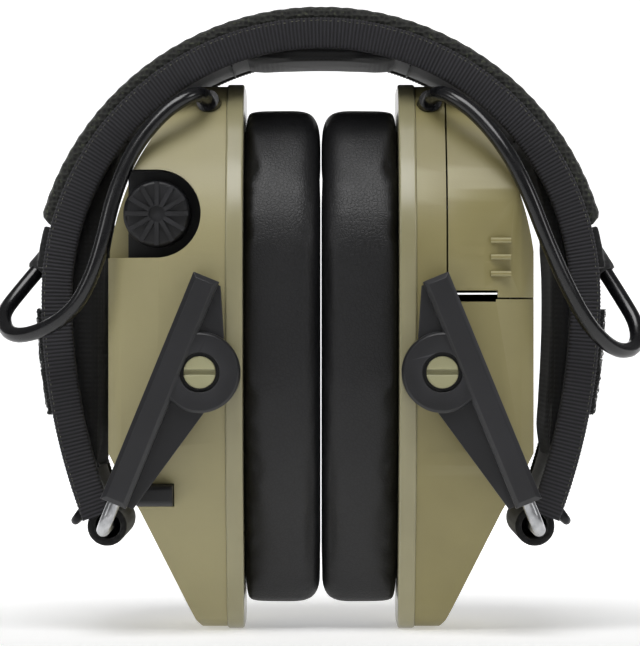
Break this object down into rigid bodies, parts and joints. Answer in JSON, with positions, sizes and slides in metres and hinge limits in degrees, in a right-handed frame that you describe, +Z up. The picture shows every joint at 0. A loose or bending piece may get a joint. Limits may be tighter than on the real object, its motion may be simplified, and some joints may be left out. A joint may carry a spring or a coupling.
{
  "type": "earmuff hearing protector",
  "caption": "Electronic low-profile earmuff, cups folded into the padded headband, with fold-out wire yokes, volume knob, battery door and ear cushions.",
  "frame": {"origin": "on the ground, under the middle of the two cups", "axes": "+X from the left cup to the right cup, +Y from front to rear, +Z up"},
  "size_m": [0.1305, 0.0956, 0.1263],
  "materials": {
    "band_foam": "knitted cover over foam",
    "mesh_fabric": "black spacer mesh with a faint green fleck",
    "cover_fabric": "plain woven",
    "hook_pile": "looped pile",
    "lining_fabric": "brushed knit",
    "binding_tape": "ribbed grosgrain",
    "black_spring_wire": "dipped",
    "webbing": "tight webbing",
    "steel_wire": "drawn",
    "arm_plastic": "moulded, fine spark finish",
    "shell_plastic": "moulded, satin",
    "rim_plastic": "polished",
    "screw_plastic": "moulded",
    "cushion_leatherette": "fine pebble",
    "black_plastic": "moulded",
    "liner_foam": "open-cell foam",
    "board_laminate": "solder mask",
    "cable_rubber": "smooth, shiny",
    "knob_rubber": "satin",
    "battery_sleeve": "plain sleeve",
    "plated_metal": "nickel plated"
  },
  "bodies": {
    "crown": {"crown_binding_front": "binding_tape", "crown_binding_rear": "binding_tape", "crown_core": "band_foam", "crown_inner_pad": "lining_fabric", "crown_outer_pad": "mesh_fabric", "crown_spring_wires": "black_spring_wire"},
    "left_side": {"left_band_core": "band_foam", "left_spring_wire": "black_spring_wire", "left_outer_pad": "mesh_fabric", "left_under_cover": "cover_fabric", "left_hook_patch": "hook_pile", "left_inner_pad": "lining_fabric", "left_binding_front": "binding_tape", "left_binding_rear": "binding_tape", "left_end_loop": "webbing", "left_cable": "cable_rubber"},
    "left_yoke": {"left_yoke_wire": "steel_wire", "left_front_arm": "arm_plastic", "left_rear_arm": "arm_plastic"},
    "right_side": {"right_band_core": "band_foam", "right_spring_wire": "black_spring_wire", "right_outer_pad": "mesh_fabric", "right_under_cover": "cover_fabric", "right_hook_patch": "hook_pile", "right_inner_pad": "lining_fabric", "right_binding_front": "binding_tape", "right_binding_rear": "binding_tape", "right_end_loop": "webbing", "right_cable": "cable_rubber"},
    "right_yoke": {"right_yoke_wire": "steel_wire", "right_front_arm": "arm_plastic", "right_rear_arm": "arm_plastic"},
    "left_cup": {"left_audio_socket": "black_plastic", "left_cable_gland": "cable_rubber", "left_circuit_board": "board_laminate", "left_cup_rim": "rim_plastic", "left_cup_shell": "shell_plastic", "left_cushion_plate": "black_plastic", "left_ear_cushion": "cushion_leatherette", "left_foam_liner": "liner_foam", "left_microphone": "black_plastic", "left_pivot_screws": "screw_plastic", "left_speaker": "black_plastic", "left_volume_control": "black_plastic"},
    "right_cup": {"right_batteries": "battery_sleeve", "right_battery_contacts": "plated_metal", "right_cable_gland": "cable_rubber", "right_circuit_board": "board_laminate", "right_cup_rim": "rim_plastic", "right_cup_shell": "shell_plastic", "right_cushion_plate": "black_plastic", "right_door_pin": "plated_metal", "right_ear_cushion": "cushion_leatherette", "right_foam_liner": "liner_foam", "right_microphone": "black_plastic", "right_pivot_screws": "screw_plastic", "right_speaker": "black_plastic"},
    "volume_knob": {"left_volume_knob": "knob_rubber"},
    "battery_door": {"right_battery_door": "shell_plastic"}
  },
  "joints": [
    {"name": "left_fold", "type": "hinge", "parent": "left_side", "child": "left_yoke", "pos_m": [-0.04302, 0, 0.02133], "axis": [0, 1, 0], "range_deg": [0, 72], "deforming": ["left_cable"]},
    {"name": "left_flex", "type": "hinge", "parent": "crown", "child": "left_side", "pos_m": [-0.0221, 0, 0.1221], "axis": [0, 1, 0], "range_deg": [0, 34]},
    {"name": "left_tilt", "type": "hinge", "parent": "left_yoke", "child": "left_cup", "pos_m": [-0.02386, 0, 0.05249], "axis": [0, 1, 0], "range_deg": [-106, 0]},
    {"name": "right_fold", "type": "hinge", "parent": "right_side", "child": "right_yoke", "pos_m": [0.04302, 0, 0.02133], "axis": [0, -1, 0], "range_deg": [0, 72], "deforming": ["right_cable"]},
    {"name": "right_flex", "type": "hinge", "parent": "crown", "child": "right_side", "pos_m": [0.0221, 0, 0.1221], "axis": [0, -1, 0], "range_deg": [0, 34]},
    {"name": "right_tilt", "type": "hinge", "parent": "right_yoke", "child": "right_cup", "pos_m": [0.02386, 0, 0.05249], "axis": [0, -1, 0], "range_deg": [-106, 0]},
    {"name": "volume_turn", "type": "hinge", "parent": "left_cup", "child": "volume_knob", "pos_m": [-0.0326, -0.0336, 0.0839], "axis": [0, 1, 0], "range_deg": [0, 300]},
    {"name": "battery_door_hinge", "type": "hinge", "parent": "right_cup", "child": "battery_door", "pos_m": [0.0271, 0, 0.1038], "axis": [0, -1, 0], "range_deg": [0, 3]}
  ],
  "couplings": [
    {"joint": "left_flex", "follows": "left_fold", "ratio": 0.46},
    {"joint": "left_tilt", "follows": "left_fold", "ratio": -1.46},
    {"joint": "right_flex", "follows": "right_fold", "ratio": 0.46},
    {"joint": "right_tilt", "follows": "right_fold", "ratio": -1.46}
  ]
}
